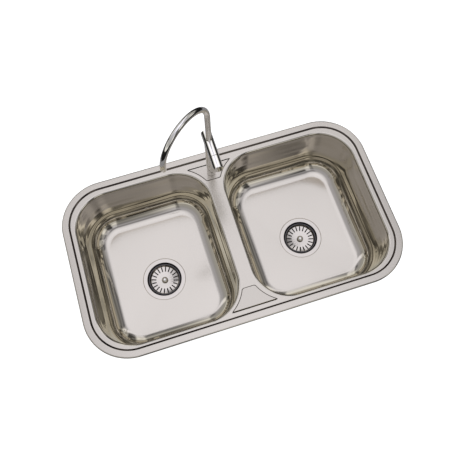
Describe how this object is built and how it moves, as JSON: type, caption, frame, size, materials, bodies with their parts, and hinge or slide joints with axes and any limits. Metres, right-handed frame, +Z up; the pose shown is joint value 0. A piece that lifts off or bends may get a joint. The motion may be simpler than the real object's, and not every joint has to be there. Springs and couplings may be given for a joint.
{
  "type": "double bowl kitchen sink",
  "caption": "Drop-in pressed steel kitchen sink with side by side bowls, lift-out basket wastes and a slim tap with a swivel spout on the bridge.",
  "frame": {"origin": "centre of the rim's outline, on the worktop plane where the rim seal rests", "axes": "+X to the right along the rim's long side, +Y towards the tap at the back, +Z up"},
  "size_m": [0.78, 0.445, 0.6357],
  "materials": {
    "stainless_steel": "polished satin",
    "polished_steel": "polished",
    "chrome": "mirror",
    "brass": "machined",
    "zinc_steel": "zinc plated",
    "black_rubber": "matte",
    "grey_foam": "closed cell foam",
    "white_plastic": "moulded",
    "black_plastic": "moulded"
  },
  "bodies": {
    "sink": {"clamp_brackets": "zinc_steel", "deck": "stainless_steel", "left_bowl": "stainless_steel", "left_flange_seal": "black_rubber", "left_friction_ring": "white_plastic", "left_locknut": "black_plastic", "left_lower_gasket": "black_rubber", "left_sound_pad": "black_rubber", "left_strainer_body": "polished_steel", "left_tail_nut": "chrome", "left_tail_washer": "black_rubber", "left_tailpiece": "chrome", "right_bowl": "stainless_steel", "right_flange_seal": "black_rubber", "right_friction_ring": "white_plastic", "right_locknut": "black_plastic", "right_lower_gasket": "black_rubber", "right_sound_pad": "black_rubber", "right_strainer_body": "polished_steel", "right_tail_nut": "chrome", "right_tail_washer": "black_rubber", "right_tailpiece": "chrome", "rim_seal": "grey_foam", "spout_o_rings": "black_rubber", "spout_set_screw": "zinc_steel", "tap_base_seal": "black_rubber", "tap_body": "chrome", "tap_cartridge": "brass", "tap_locknut": "brass", "tap_metal_washer": "zinc_steel", "tap_rubber_washer": "black_rubber", "tap_shank": "brass"},
    "spout": {"tap_spout": "chrome", "flow_straightener": "white_plastic"},
    "knob": {"tap_knob": "chrome", "tap_stem": "brass", "knob_grub_screw": "zinc_steel"},
    "left_stopper": {"left_basket": "polished_steel", "left_basket_stopper": "black_rubber", "left_basket_post": "polished_steel"},
    "right_stopper": {"right_basket": "polished_steel", "right_basket_stopper": "black_rubber", "right_basket_post": "polished_steel"},
    "clamps": {"clamp_claws": "zinc_steel", "clamp_screws": "zinc_steel"}
  },
  "joints": [
    {"name": "spout_swivel", "type": "hinge", "parent": "sink", "child": "spout", "pos_m": [0, 0.164, 0.172], "axis": [0, 0, 1], "continuous": true},
    {"name": "knob_turn", "type": "hinge", "parent": "sink", "child": "knob", "pos_m": [0, 0.1065, 0.16], "axis": [0, -1, 0], "range_deg": [0, 90]},
    {"name": "left_stopper_lift", "type": "slide", "parent": "sink", "child": "left_stopper", "axis": [0, 0, 1], "range_m": [0, 0.2]},
    {"name": "right_stopper_lift", "type": "slide", "parent": "sink", "child": "right_stopper", "axis": [0, 0, 1], "range_m": [0, 0.2]},
    {"name": "clamp_tighten", "type": "slide", "parent": "sink", "child": "clamps", "axis": [0, 0, 1], "range_m": [0, 0.012]}
  ]
}
